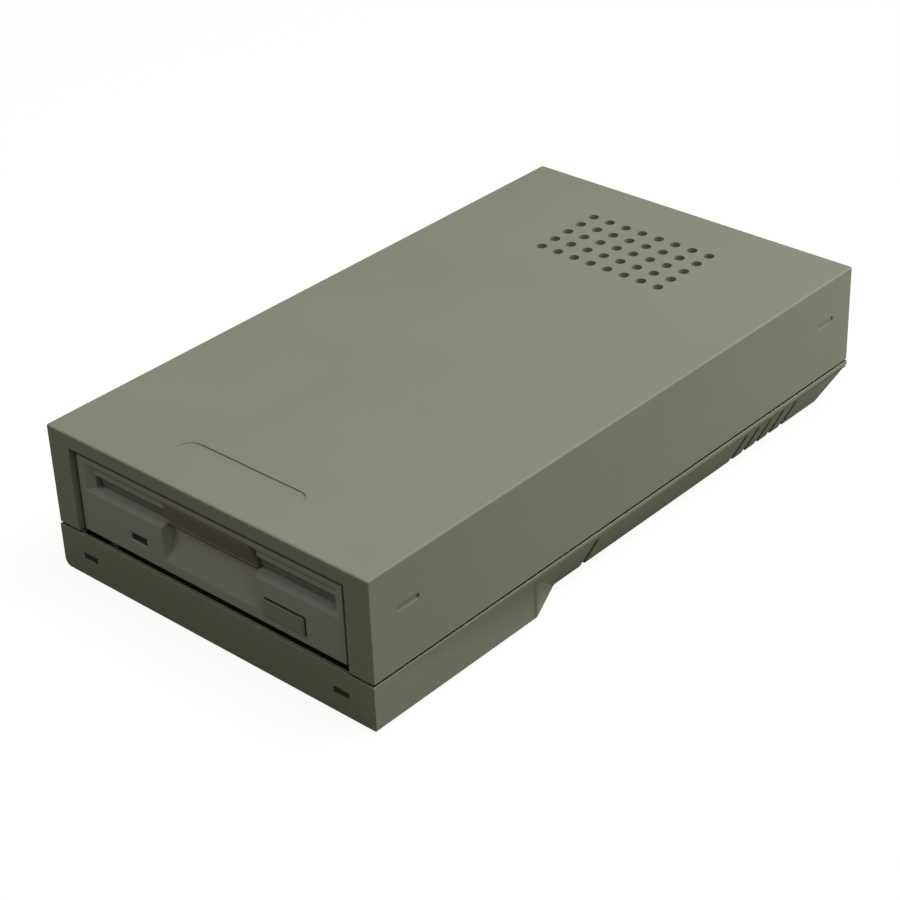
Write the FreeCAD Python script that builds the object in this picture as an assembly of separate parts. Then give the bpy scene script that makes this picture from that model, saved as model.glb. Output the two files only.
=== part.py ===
"""External 3.5-inch floppy disk drive: a two-piece plastic case with an interface board and a drive.

Millimetres. +X is to the right seen from the front, +Y to the rear, +Z up. The origin is at the
middle of the case's outline, on the surface that the rubber feet stand on.
"""
import FreeCAD, Part
import math
import os

V = FreeCAD.Vector

# Case
case_width = 120.0
case_length = 210.5
cover_height = 31.15
base_height = 14.7
foot_proud = 1.0
wall = 2.4
seam_gap = 0.6
edge_round = 0.6
left_foot_round = 2.2
right_foot_round = 0.7
lip_front = 0.9
lip_drop = 1.5
front_block = 62.3
blend_length = 15.4
blend_round = 5.0
blend_hollow = 5.0
side_inset = 6.6
rear_inset = 6.5
side_lip = 1.4
tongue_height = 2.4
tongue_thick = 1.2
tongue_gap = 0.15

# Drive opening in the cover's front
opening_gap = 0.8
bezel_recess = 1.5

# Vents, marks and the bare name recess
vent_pitch = 6.35
vent_hole_r = 1.65
vent_columns = 8
vent_rows = 5
vent_first_row = case_length - 45.8
slot_width = 2.0
slot_top_drop = 4.2
slot_reach = 3.0
rear_slot_first = case_length - 50.6
rear_slot_count = 5
front_slot_at = 90.1
mark_length = 8.4
mark_width = 1.9
mark_depth = 0.4
mark_drop = 13.45
mark_front_at = 13.7
mark_rear_at = case_length - 13.5
name_width = 46.2
name_rear_at = 19.15
name_length = 7.5
name_round = 4.5
name_depth = 0.4

# Light windows in the base's front
lens_x = 48.1
lens_drop = 7.9
lens_width = 5.5
lens_height = 1.9
lens_gap = 0.1
lens_recess = 0.25

# Feet
foot_r = 5.0
foot_seat = 0.8
foot_x = 42.0
foot_front_at = 14.0
foot_rear_at = case_length - 20.5

# Screws
screw_r = 1.5
screw_clear = 0.2
head_r = 2.8
head_height = 1.3
head_recess = 1.5
boss_r = 3.0
front_boss_x = 54.3
front_boss_at = 25.0
rear_boss_x = 44.0
rear_boss_at = case_length - 38.5
small_screw_r = 1.25
small_head_r = 2.3
small_head_height = 1.3

# Drive
drive_width = 101.6
drive_height = 25.4
drive_depth = 145.0
drive_lift = 0.5
bezel_thick = 5.0
frame_sheet = 1.5
deck_below_top = 14.8
deck_thick = 1.6
deck_front_at = 20.0
top_plate_thick = 0.8
post_r = 4.0
post_x = 44.0
post_front_at = 31.0
post_rear_at = 84.0
lug_height = 1.6

# Bezel front, heights above the seam
slot_low = 14.8
slot_high = 19.1
slot_width_half = 45.3
funnel_high = 22.9
funnel_mid = 20.7
funnel_low = 12.6
funnel_half = 48.0
funnel_depth = 1.6
lip_thick = 0.9
brow_half = 17.4
brow_gap = 0.3
flap_top = 22.6
flap_low = 15.5
brow_low = 14.0
brow_depth = 2.7
flap_thick = 0.8
flap_face_in = 2.6
flap_end_gap = 0.7
flap_shoulder = 20.3
flap_axis_up = 22.3
flap_axis_in = 3.8
flap_pin_r = 0.7
running_gap = 0.05
scoop_half = 17.8
scoop_low = 3.5
scoop_depth = 3.4
window_x = -27.75
window_up = 6.15
window_width = 5.9
window_height = 1.7
button_x = 27.6
button_up = 5.85
button_width = 15.2
button_height = 5.5
button_gap = 0.3
button_proud = 1.4

# Disk transport
disk_width = 90.0
disk_gap = 0.3
disk_seat_drop = 0.1
carrier_sheet = 0.8
carrier_room = 5.2
carrier_lip = 4.3
carrier_front_at = 14.0
carrier_rear_at = 97.5
carrier_drop = 2.5
slide_travel = 5.0
slide_overtravel = 0.8
slide_sheet = 0.8
slide_side_gap = 0.9
slide_roof_gap = 0.8
slide_front_at = 20.0
slide_rear_at = 104.0
slide_window_at = 60.0
slide_window_half = 22.0
slide_foot_up = 1.7
ledge_gap = 0.3
cam_pin_r = 1.0
cam_gap = 0.25
cam_front_at = 28.0
cam_rear_at = 84.0
bracket_at = 12.2
lug_front_at = 120.0
spring_turns = 13

# Spindle
spindle_at = 52.0
shaft_r = 2.0
hub_r = 13.0
hub_thick = 1.5
hub_below_slot = 2.3
rotor_r = 26.0
rotor_thick = 1.6
rotor_rim = 3.6
rotor_below_deck = 1.4
bearing_r = 4.5
motor_board_up = 1.6
board_thick = 1.6
motor_board_half = 36.0
coil_count = 9

# Head transport
screw_line_x = -14.0
lead_screw_r = 1.5
rod_line_x = 16.0
guide_rod_r = 1.5
stepper_r = 8.5
stepper_length = 18.0
stepper_at = 123.0
stepper_plate = 1.2
carriage_half = 10.5
carriage_front_at = 86.0
carriage_rear_at = 118.0
head_at = 91.5
head_r = 3.2
arm_axis_at = 115.5
arm_half = 6.4
arm_thick = 1.6
arm_pin_r = 1.0
arm_above_slot = 2.3

# Interface board and ports
standoff = 3.0
main_half = 49.0
main_front_at = 8.0
panel_at = case_length - 7.5
main_rear_at = panel_at - 3.0
panel_thick = 1.2
bay_height = 8.0
bay_half = case_width / 2 - 4.0
port_x = case_width / 4 - 2.9
port_body_width = 2 * port_x - 1.2
port_body_height = 12.5
port_depth = 11.0
port_spacing = 47.04
shell_proud = 6.0
jack_screw_r = 1.45
jack_thread_r = 1.25
board_post_x = 30.0
board_post_gap = 4.0
jack_x = 47.0
jack_drop = 12.5
jack_r = 5.5
jack_bore_r = 2.9
ribbon_x = 18.0
ribbon_half = 21.6
ribbon_thick = 1.0
ribbon_bend_r = 4.0
plug_length = 7.0
header_length = 46.0
header_from_drive = 11.5
power_plug_x = -23.0
power_from_drive = 12.5
regulator_x = -11.5
regulator_from_panel = 17.0
capacitor_r = 3.1
capacitor_height = 7.0
capacitor_from_drive = 3.4
chip_width = 7.0
chip_length = 18.0
controller_side = 24.0

# Places worked out from the sizes above
front = -case_length / 2
rear = case_length / 2
half = case_width / 2
floor_z = foot_proud + wall
seam_z = foot_proud + base_height
base_top = seam_z - seam_gap
top_z = seam_z + cover_height
drive_low = seam_z + drive_lift
drive_top = drive_low + drive_height
drive_half = drive_width / 2
bezel_front = front + bezel_recess
bezel_back = bezel_front + bezel_thick
chassis_back = bezel_front + drive_depth
deck_top = drive_top - deck_below_top
deck_low = deck_top - deck_thick
board_low = floor_z + standoff
board_top = board_low + board_thick
slot_floor = seam_z + slot_low
slot_roof = seam_z + slot_high
carrier_floor = slot_floor - disk_seat_drop
carrier_half = disk_width / 2 + disk_gap
carrier_roof = carrier_floor + carrier_room
slide_inner = carrier_half + carrier_sheet + slide_side_gap
slide_roof = carrier_roof + carrier_sheet + slide_roof_gap
slide_foot = deck_top + slide_foot_up
motor_board_low = drive_low + motor_board_up
rotor_top = deck_low - rotor_below_deck
hub_top = slot_floor - hub_below_slot
line_z = deck_low + 0.3
arm_z = slot_roof + arm_above_slot
header_y = chassis_back + header_from_drive
power_y = chassis_back + power_from_drive
flap_axis = V(0, bezel_front + flap_axis_in, seam_z + flap_axis_up)


def at(depth):
    """Return the Y of a place measured back from the case's front face."""
    return front + depth


def block(x0, x1, y0, y1, z0, z1):
    return Part.makeBox(x1 - x0, y1 - y0, z1 - z0, V(x0, y0, z0))


def rod(radius, base, direction, length):
    return Part.makeCylinder(radius, length, V(*base), V(*direction))


def prism_x(points, x0, x1):
    """Extrude a closed outline of (y, z) points along X."""
    ring = [V(x0, y, z) for y, z in points]
    face = Part.Face(Part.makePolygon(ring + ring[:1]))
    return face.extrude(V(x1 - x0, 0, 0))


def prism_y(points, y0, y1):
    """Extrude a closed outline of (x, z) points along Y."""
    ring = [V(x, y0, z) for x, z in points]
    face = Part.Face(Part.makePolygon(ring + ring[:1]))
    return face.extrude(V(0, y1 - y0, 0))


def prism_z(points, z0, z1):
    """Extrude a closed outline of (x, y) points along Z."""
    ring = [V(x, y, z0) for x, y in points]
    face = Part.Face(Part.makePolygon(ring + ring[:1]))
    return face.extrude(V(0, 0, z1 - z0))


def slot_z(x, y0, y1, radius, z0, z1):
    """Return a round-ended bar that runs along Y and stands along Z."""
    ends = [rod(radius, (x, y, z0), (0, 0, 1), z1 - z0) for y in (y0, y1)]
    return block(x - radius, x + radius, y0, y1, z0, z1).fuse(ends)


def fuse(solids):
    return solids[0].fuse(solids[1:]).removeSplitter()


def rounded(solid, radius, keep):
    """Round the edges for which keep(edge) is true."""
    return solid.makeFillet(radius, [edge for edge in solid.Edges if keep(edge)])


def along(edge, axis):
    """Say whether a straight edge runs along a row axis (0, 1 or 2)."""
    box = edge.BoundBox
    spans = (box.XLength, box.YLength, box.ZLength)
    return spans[axis] > 1e-6 and all(spans[i] < 1e-6 for i in range(3) if i != axis)


def save(name, shape):
    shape.exportStep(f"parts/{name}.step")


def save_group(name, solids):
    save(name, Part.makeCompound(solids))


def screw(x, y, z, length, radius, cap_r, cap_height):
    """Return a screw whose head's underside is at z and whose shank points up."""
    cap = rod(cap_r, (x, y, z - cap_height), (0, 0, 1), cap_height)
    shank = rod(radius, (x, y, z), (0, 0, 1), length)
    slot = block(x - cap_r, x + cap_r, y - 0.3, y + 0.3, z - cap_height, z - 0.6 * cap_height)
    return cap.fuse(shank).cut(slot)


def case_bosses():
    return [(sign * front_boss_x, at(front_boss_at)) for sign in (-1, 1)] + [
        (sign * rear_boss_x, at(rear_boss_at)) for sign in (-1, 1)]


def drive_posts():
    return [(sign * post_x, at(d)) for d in (post_front_at, post_rear_at) for sign in (-1, 1)]


def board_posts():
    rear_line = panel_at - port_depth - board_post_gap
    return [(sign * board_post_x, at(d)) for d in (main_front_at + 7.0, rear_line) for sign in (-1, 1)]


def top_cover():
    outer = block(-half, half, front, rear, seam_z, top_z)
    outer = rounded(outer, edge_round, lambda e: e.CenterOfMass.z > seam_z + 0.1)
    inner = block(-half + wall, half - wall, front + wall, rear - wall, seam_z, top_z - wall)
    shell = outer.cut(inner)
    way = drive_half + opening_gap
    shell = shell.cut(block(-way, way, front, front + wall, seam_z, drive_top + opening_gap))
    shelf = block(-half + wall, half - wall, at(panel_at), rear - wall,
                  seam_z + bay_height, seam_z + bay_height + wall)
    solids = [shell, shelf]
    for x, y in case_bosses():
        solids.append(rod(boss_r, (x, y, seam_z), (0, 0, 1), cover_height - wall))
    shell = fuse(solids)
    cuts = [block(-bay_half, bay_half, rear - wall, rear, seam_z, seam_z + bay_height)]
    cuts += [rod(screw_r, (x, y, seam_z), (0, 0, 1), 12.0) for x, y in case_bosses()]
    first = -(vent_columns - 1) / 2 * vent_pitch
    for column in range(vent_columns):
        for row in range(vent_rows):
            place = (first + column * vent_pitch, at(vent_first_row + row * vent_pitch), top_z - wall)
            cuts.append(rod(vent_hole_r, place, (0, 0, 1), wall))
    for sign in (-1, 1):
        for depth in (mark_front_at, mark_rear_at):
            cuts.append(side_mark(sign, at(depth)))
    cuts.append(name_recess())
    cuts.append(jack_hole())
    save("top_cover", shell.cut(cuts))


def side_mark(sign, y):
    """Return the shallow round-ended recess in a side wall."""
    z = top_z - mark_drop
    r = mark_width / 2
    reach = mark_length / 2 - r
    x0 = sign * half - mark_depth
    bar = block(x0, x0 + 2 * mark_depth, y - reach, y + reach, z - r, z + r)
    ends = [rod(r, (x0, y + s * reach, z), (1, 0, 0), 2 * mark_depth) for s in (-1, 1)]
    return bar.fuse(ends)


def name_recess():
    """Return the bare recess over the opening: deepest at its rear edge, running out forwards."""
    y1 = at(name_rear_at)
    y0 = y1 - name_length
    w = name_width / 2
    plate = block(-w, w, y0 - name_round, y1, top_z - name_depth, top_z + 1)
    plate = rounded(plate, name_round, lambda e: along(e, 2) and e.CenterOfMass.y > y1 - 0.1)
    wedge = prism_x([(y0, top_z), (y0, top_z + 1), (y1, top_z + 1), (y1, top_z - name_depth)], -w, w)
    return plate.common(wedge)


def jack_hole():
    z = top_z - jack_drop
    return rod(jack_r + 0.2, (jack_x, rear - wall, z), (0, 1, 0), wall)


def base_form(inset, low, high, front_inset):
    """Return the base's solid form, drawn in by inset from its outer surface."""
    w = half - inset
    foot = half - side_inset - inset
    y0 = front + front_inset
    y1 = rear - inset
    shoulder = base_top - side_lip
    run = rear_inset
    tray = prism_y([(-w, high), (-w, shoulder), (-foot, low), (foot, low), (w, shoulder), (w, high)],
                   y0, y1)
    slant = prism_x([(y1 - run, low - 1), (y1 - run, low), (y1, shoulder), (y1 + 1, shoulder),
                     (y1 + 1, low - 1)], -w - 1, w + 1)
    tray = tray.cut(slant)
    y2 = at(front_block) - inset / 2
    y3 = y2 + blend_length
    y4 = y3 + blend_hollow
    nose = prism_z([(-w, y0), (w, y0), (w, y2), (foot, y3), (foot, y4), (-foot, y4), (-foot, y3), (-w, y2)],
                   low, high)
    nose = rounded(nose, blend_round,
                   lambda e: along(e, 2) and abs(e.CenterOfMass.y - y2) < 0.1)
    nose = rounded(nose, blend_hollow,
                   lambda e: along(e, 2) and abs(e.CenterOfMass.y - y3) < 0.1)
    if inset == 0:
        nose = nose.common(foot_corners(w, y0, y4, low, high))
    return tray.fuse(nose).removeSplitter()


def foot_corners(w, y0, y1, low, high):
    """Return a bar whose two lower edges are rounded, to give the front block its foot corners."""
    bar = block(-w, w, y0, y1, low, high)
    bar = rounded(bar, left_foot_round,
                  lambda e: along(e, 1) and e.CenterOfMass.x < 0 and e.CenterOfMass.z < low + 0.1)
    return rounded(bar, right_foot_round,
                   lambda e: along(e, 1) and e.CenterOfMass.x > 0 and e.CenterOfMass.z < low + 0.1)


def bottom_case():
    outer = base_form(0, foot_proud, base_top, 0)
    inner = base_form(wall, floor_z, base_top, wall)
    shell = outer.cut(inner)
    solids = [shell]
    tongue_w = half - wall - tongue_gap
    for sign in (-1, 1):
        y0 = front + wall + tongue_gap
        y1 = at(panel_at) - 4
        x0, x1 = sorted((sign * (tongue_w - tongue_thick), sign * tongue_w))
        tongue = block(x0, x1, y0, y1, base_top - 3, seam_z + tongue_height)
        x0, x1 = sorted((sign * (tongue_w - tongue_thick), sign * (half - wall + 1)))
        root = block(x0, x1, y0, y1, base_top - 3, base_top)
        room = [rod(boss_r + 0.3, (x, y, seam_z - 0.1), (0, 0, 1), 9) for x, y in case_bosses()]
        solids += [tongue.cut(room), root]
    solids += [rod(boss_r, (x, y, foot_proud + 0.5), (0, 0, 1), seam_z - foot_proud - 0.5)
               for x, y in case_bosses()]
    solids += [rod(post_r, (x, y, foot_proud + 0.5), (0, 0, 1), drive_low - foot_proud - 0.5)
               for x, y in drive_posts()]
    solids += [rod(boss_r, (x, y, foot_proud + 0.5), (0, 0, 1), board_low - foot_proud - 0.5)
               for x, y in board_posts()]
    solids += [block(-main_half, main_half, at(panel_at) - 1.6, at(panel_at), floor_z - 0.5, floor_z + 2)]
    shell = fuse(solids)
    cuts = []
    for x, y in case_bosses() + drive_posts():
        cuts.append(rod(screw_r + screw_clear, (x, y, 0), (0, 0, 1), top_z))
        cuts.append(rod(head_r + screw_clear, (x, y, 0), (0, 0, 1), foot_proud + head_recess))
    cuts += [rod(small_screw_r, (x, y, floor_z - 1), (0, 0, 1), 20) for x, y in board_posts()]
    cuts += [rod(foot_r, (x, y, 0), (0, 0, 1), foot_proud + foot_seat) for x, y in feet_places()]
    for sign in (-1, 1):
        cuts.append(lens_block(sign, lens_gap, -1, wall + 1))
        for depth in [front_slot_at] + [rear_slot_first + i * vent_pitch for i in range(rear_slot_count)]:
            cuts.append(side_slot(sign, at(depth)))
    cuts.append(block(-bay_half + 2, bay_half - 2, at(panel_at), rear + 1, floor_z + 1, top_z))
    way = drive_half + opening_gap
    cuts.append(block(-way, way, front + lip_front, front + wall, base_top - lip_drop, seam_z))
    save("bottom_case", shell.cut(cuts))


def side_slot(sign, y):
    """Return the cutter of one vent slot, which wraps from the slanted side onto the bottom."""
    x0 = half - side_inset - slot_reach
    x1 = half + 1
    r = slot_width / 2
    z1 = seam_z - slot_top_drop
    low, high = sorted((sign * x0, sign * x1))
    return block(low, high, y - r, y + r, foot_proud - 1, z1)


def lens_block(sign, gap, d0, d1):
    x = sign * lens_x
    z = seam_z - lens_drop
    w = lens_width / 2 + gap
    h = lens_height / 2 + gap
    return block(x - w, x + w, front + d0, front + d1, z - h, z + h)


def light_windows():
    for name, sign in (("ready_lens", -1), ("power_lens", 1)):
        lens = lens_block(sign, 0, lens_recess, wall + 0.3)
        flange = lens_block(sign, 0.8, wall, wall + 0.8)
        save(name, fuse([lens, flange]))


def feet_places():
    return [(sign * foot_x, at(d)) for d in (foot_front_at, foot_rear_at) for sign in (-1, 1)]


def rubber_feet():
    feet = []
    for x, y in feet_places():
        foot = rod(foot_r, (x, y, 0), (0, 0, 1), foot_proud + foot_seat)
        feet.append(rounded(foot, 0.4, lambda e: e.CenterOfMass.z < 0.1 and e.Closed))
    save_group("rubber_feet", feet)


def screws():
    z = foot_proud + head_recess
    save_group("case_screws", [screw(x, y, z, seam_z + 8 - z, screw_r, head_r, head_height)
                               for x, y in case_bosses()])
    save_group("drive_screws", [screw(x, y, z, drive_low + lug_height - z, screw_r, head_r, head_height)
                                for x, y in drive_posts()])
    small = []
    for x, y in board_posts():
        cap = rod(small_head_r, (x, y, board_top), (0, 0, 1), small_head_height)
        shank = rod(small_screw_r, (x, y, floor_z + 0.6), (0, 0, 1), board_top - floor_z - 0.6)
        cross = block(x - 1.4, x + 1.4, y - 0.3, y + 0.3, board_top + 0.6, board_top + small_head_height)
        small.append(cap.fuse(shank).cut(cross))
    save_group("board_screws", small)
    tops = []
    for x, y in top_screw_places():
        cap = rod(small_head_r, (x, y, drive_top), (0, 0, 1), 0.6)
        shank = rod(small_screw_r, (x, y, drive_top - 4), (0, 0, 1), 4)
        tops.append(cap.fuse(shank))
    save_group("top_plate_screws", tops)


def top_screw_places():
    return [(sign * (drive_half - 4), at(d)) for d in (lug_front_at + 4, 138.0) for sign in (-1, 1)]


def port_outline(width, height, x, y0, y1, z):
    """Return the D-shaped bar of a port, with rounded corners and the wider side up."""
    h = height / 2
    w = width / 2
    lean = height * math.tan(math.radians(10))
    points = [(x - w, z + h), (x + w, z + h), (x + w - lean, z - h), (x - w + lean, z - h)]
    return rounded(prism_y(points, y0, y1), 2.2, lambda e: along(e, 1))


def port_z():
    return board_top + port_body_height / 2


def rear_panel():
    y0 = at(panel_at)
    y1 = y0 + panel_thick
    plate = block(-bay_half + 2.3, bay_half - 2.3, y0, y1, floor_z + 1, seam_z + bay_height)
    cuts = []
    for sign in (-1, 1):
        cuts.append(port_outline(40.5, 10.0, sign * port_x, y0, y1, port_z()))
        for side in (-1, 1):
            place = (sign * port_x + side * port_spacing / 2, y0, port_z())
            cuts.append(rod(1.65, place, (0, 1, 0), panel_thick))
    save("rear_panel", plate.cut(cuts))


def ports():
    y0 = at(panel_at)
    y1 = y0 + panel_thick
    pins = []
    for name, sign, male in (("computer_port", -1, True), ("printer_port", 1, False)):
        x = sign * port_x
        z = port_z()
        w = port_body_width / 2
        body = block(x - w, x + w, y0 - port_depth, y0, board_top, board_top + port_body_height)
        size = (39.0, 8.36) if male else (38.4, 7.9)
        shell = port_outline(size[0], size[1], x, y0 - 1, y1 + shell_proud, z)
        cuts = []
        if male:
            cuts.append(port_outline(size[0] - 1.0, size[1] - 1.0, x, y0 + 1.5, y1 + shell_proud, z))
        for row, count in ((1.42, 13), (-1.42, 12)):
            for i in range(count):
                place = (x + (i - (count - 1) / 2) * 2.77, y1 - 1.0, z + row)
                if male:
                    pins.append(rod(0.5, place, (0, 1, 0), 6.0))
                else:
                    cuts.append(rod(0.5, (place[0], y1 + 1, place[2]), (0, 1, 0), shell_proud))
        for side in (-1, 1):
            cuts.append(rod(jack_screw_r, (x + side * port_spacing / 2, y0 - 4, z), (0, 1, 0), 4))
        if male:
            cuts += [rod(0.5, (p.BoundBox.Center.x, y1 - 1.0, p.BoundBox.Center.z), (0, 1, 0), 6.0)
                     for p in pins]
        save(name, fuse([body, shell]).cut(cuts))
    save_group("port_pins", pins)
    save_group("jackscrews", [jackscrew(s * port_x + t * port_spacing / 2, y1, port_z())
                              for s in (-1, 1) for t in (-1, 1)])


def jackscrew(x, y, z):
    """Return a hexagonal standoff screwed through the panel, with a threaded bore in its face."""
    flat = 2.4
    corner = flat / math.cos(math.radians(30))
    ring = [(x + corner * math.cos(math.radians(60 * i)), z + corner * math.sin(math.radians(60 * i)))
            for i in range(6)]
    nut = prism_y(ring, y, y + shell_proud - 0.9)
    shank = rod(jack_screw_r, (x, y - panel_thick - 3.5, z), (0, 1, 0), panel_thick + 3.5)
    return nut.fuse(shank).cut(rod(jack_thread_r, (x, y + 0.6, z), (0, 1, 0), shell_proud))


def power_inlet():
    z = top_z - jack_drop
    y0 = rear - wall
    barrel = rod(jack_r, (jack_x, y0 - 9, z), (0, 1, 0), 9 + wall - 0.3)
    flange = rod(jack_r + 1.4, (jack_x, y0 - 1.2, z), (0, 1, 0), 1.2)
    bore = rod(jack_bore_r, (jack_x, y0 - 7, z), (0, 1, 0), 12)
    pin = rod(1.0, (jack_x, y0 - 8, z), (0, 1, 0), 8)
    save("power_jack", fuse([fuse([barrel, flange]).cut(bore), pin]))
    ring = [(jack_x + 8 * math.cos(math.radians(60 * i)), z + 8 * math.sin(math.radians(60 * i)))
            for i in range(6)]
    nut = prism_y(ring, y0 - 3.6, y0 - 1.2).cut(rod(jack_r, (jack_x, y0 - 4, z), (0, 1, 0), 4))
    save("jack_nut", nut)
    leads = []
    for x in (jack_x - 2.6, jack_x - 0.6):
        y = at(panel_at) - port_depth - 3
        down = rod(0.6, (x, y, board_top), (0, 0, 1), z - 2 - board_top)
        over = rod(0.6, (x, y, z - 2), (0, 1, 0), y0 - 9 - y)
        elbow = Part.makeSphere(0.6, V(x, y, z - 2))
        leads.append(fuse([down, over, elbow]))
    save_group("jack_leads", leads)


def main_electronics():
    board = block(-main_half, main_half, at(main_front_at), at(main_rear_at), board_low, board_top)
    cuts = [rod(post_r + 0.5, (x, y, 0), (0, 0, 1), top_z) for x, y in drive_posts()]
    cuts += [rod(boss_r + 0.5, (x, y, 0), (0, 0, 1), top_z) for x, y in case_bosses()]
    cuts += [rod(small_screw_r, (x, y, 0), (0, 0, 1), top_z) for x, y in board_posts()]
    save("main_board", board.cut(cuts))
    save("controller_chip", square_chip(-8, at(118), controller_side, 3.2))
    chips = [flat_chip(x, at(d), chip_width, chip_length) for x in (-32, 22) for d in (62, 104, 134)]
    save_group("logic_chips", chips)
    can = slot_z(16, at(112), at(117), 2.2, board_top + 0.3, board_top + 3.6)
    save("crystal", can)
    y = chassis_back + capacitor_from_drive
    drums = [rod(capacitor_r, (x, y, board_top), (0, 0, 1), capacitor_height) for x in (-36, -27, 27, 36)]
    drums = [rounded(d, 0.5, lambda e: e.Closed and e.CenterOfMass.z > board_top + 1) for d in drums]
    save_group("capacitors", drums)
    y = at(panel_at - regulator_from_panel)
    tab = block(regulator_x - 5, regulator_x + 5, y, y + 1.2, board_top, board_top + 16)
    tab = tab.cut(rod(1.8, (regulator_x, y, board_top + 13), (0, 1, 0), 2))
    chip = block(regulator_x - 5, regulator_x + 5, y - 3.5, y, board_top, board_top + 9.5)
    save("voltage_regulator", fuse([tab, chip]))
    save("drive_header", shrouded_header(ribbon_x, header_y, header_length))
    save("power_header", block(power_plug_x - 5.5, power_plug_x + 5.5, power_y - 3, power_y + 3,
                               board_top, board_top + 6.0))
    lamps = []
    for sign in (-1, 1):
        x = sign * (lens_x - 1.5)
        z = seam_z - lens_drop
        tip = block(x - 2, x + 2, front + wall + 0.8, at(main_front_at), z - 0.9, z + 0.9)
        seat = block(x - 2, x + 2, at(main_front_at), at(main_front_at) + 4, board_top, board_top + 2.2)
        neck = block(x - 2, x + 2, at(main_front_at) - 1, at(main_front_at), z - 0.9, board_top + 2.2)
        lamps.append(fuse([tip, seat, neck]))
    save_group("front_leds", lamps)


def flat_chip(x, y, width, length):
    body = block(x - length / 2, x + length / 2, y - width / 2, y + width / 2,
                 board_top + 0.4, board_top + 2.8)
    legs = []
    for i in range(int(length / 2.54)):
        leg_x = x + (i - (int(length / 2.54) - 1) / 2) * 2.54
        for side in (-1, 1):
            y0, y1 = sorted((y + side * width / 2, y + side * (width / 2 + 1.2)))
            legs.append(block(leg_x - 0.3, leg_x + 0.3, y0, y1, board_top, board_top + 1.4))
    return fuse([body] + legs)


def square_chip(x, y, size, height):
    body = block(x - size / 2, x + size / 2, y - size / 2, y + size / 2,
                 board_top + 0.3, board_top + height)
    legs = []
    for i in range(17):
        offset = (i - 8) * 1.27
        for side in (-1, 1):
            s0, s1 = sorted((side * size / 2, side * (size / 2 + 0.6)))
            legs.append(block(x + s0, x + s1, y + offset - 0.3, y + offset + 0.3, board_top, board_top + 1))
            legs.append(block(x + offset - 0.3, x + offset + 0.3, y + s0, y + s1, board_top, board_top + 1))
    return fuse([body] + legs)


def shrouded_header(x, y, width):
    body = block(x - width / 2, x + width / 2, y - 4.5, y + 4.5, board_top, board_top + 4.5)
    well = block(x - width / 2 + 1.2, x + width / 2 - 1.2, y - 3.3, y + 3.3, board_top + 1.5, board_top + 5)
    return body.cut(well)


def drive_cables():
    """Write the ribbon from the drive's rear edge down to the board, its plugs and the power leads."""
    x = ribbon_x
    y0 = chassis_back
    start = y0 + plug_length
    high = drive_low + 6.0
    low = board_top + 7.5
    r = ribbon_bend_r
    t = ribbon_thick
    cy = header_y + t / 2 - r
    cz = high + t - r
    k = math.sqrt(0.5)
    edges = [
        Part.LineSegment(V(0, start, high + t), V(0, cy, high + t)).toShape(),
        Part.Arc(V(0, cy, cz + r), V(0, cy + r * k, cz + r * k), V(0, cy + r, cz)).toShape(),
        Part.LineSegment(V(0, cy + r, cz), V(0, cy + r, low)).toShape(),
        Part.LineSegment(V(0, cy + r, low), V(0, cy + r - t, low)).toShape(),
        Part.LineSegment(V(0, cy + r - t, low), V(0, cy + r - t, cz)).toShape(),
        Part.Arc(V(0, cy + r - t, cz), V(0, cy + (r - t) * k, cz + (r - t) * k),
                 V(0, cy, cz + r - t)).toShape(),
        Part.LineSegment(V(0, cy, cz + r - t), V(0, start, high)).toShape(),
        Part.LineSegment(V(0, start, high), V(0, start, high + t)).toShape(),
    ]
    band = Part.Face(Part.Wire(edges)).extrude(V(2 * ribbon_half, 0, 0))
    band.translate(V(x - ribbon_half, 0, 0))
    save("ribbon_cable", band)
    plugs = [
        block(x - ribbon_half, x + ribbon_half, y0, start, high - 3, high + 3.5),
        block(x - ribbon_half, x + ribbon_half, header_y - 3, header_y + 3, board_top + 1.5, low),
    ]
    save_group("ribbon_plugs", plugs)
    leads = []
    for i in range(4):
        lead_x = power_plug_x + 2.5 * (i - 1.5)
        run = rod(0.7, (lead_x, y0 + 6, high), (0, 1, 0), power_y - y0 - 6)
        down = rod(0.7, (lead_x, power_y, board_top + 6), (0, 0, 1), high - board_top - 6)
        leads.append(fuse([run, down, Part.makeSphere(0.7, V(lead_x, power_y, high))]))
    leads.append(block(power_plug_x - 6, power_plug_x + 6, y0, y0 + 6, high - 3, high + 3))
    save_group("drive_power_lead", leads)


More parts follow.
